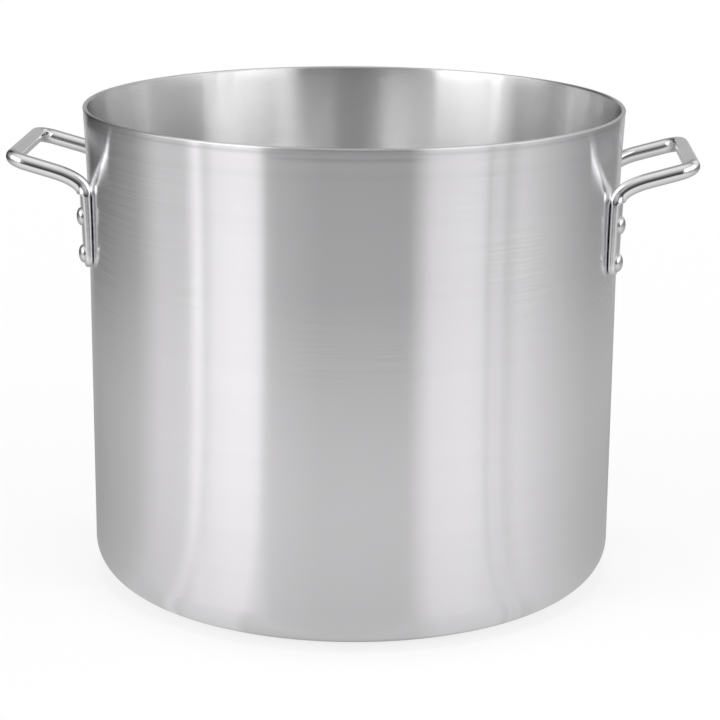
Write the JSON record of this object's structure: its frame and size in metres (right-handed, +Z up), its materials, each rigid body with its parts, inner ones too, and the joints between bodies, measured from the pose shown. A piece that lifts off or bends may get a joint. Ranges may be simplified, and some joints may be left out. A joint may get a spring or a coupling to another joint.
{
  "type": "stock pot",
  "caption": "Tall straight-sided aluminium stock pot with a slightly flared, rounded lip, a rounded bottom corner and a riveted loop handle of bent rod on each side.",
  "frame": {"origin": "centre of the flat bottom, on the surface that the pot stands on", "axes": "+Z up along the pot's axis, +X through the middle of the right handle, -Y towards the viewer"},
  "size_m": [0.4914, 0.39, 0.347],
  "materials": {
    "pot_shell": "satin, brushed round the pot, with faint spinning marks",
    "handle": "polished",
    "rivet": "polished"
  },
  "bodies": {
    "root": {"pot_shell": "pot_shell", "handle_left": "handle", "handle_right": "handle", "rivet_left_front_upper": "rivet", "rivet_left_front_lower": "rivet", "rivet_left_rear_upper": "rivet", "rivet_left_rear_lower": "rivet", "rivet_right_front_upper": "rivet", "rivet_right_front_lower": "rivet", "rivet_right_rear_upper": "rivet", "rivet_right_rear_lower": "rivet"}
  },
  "joints": []
}
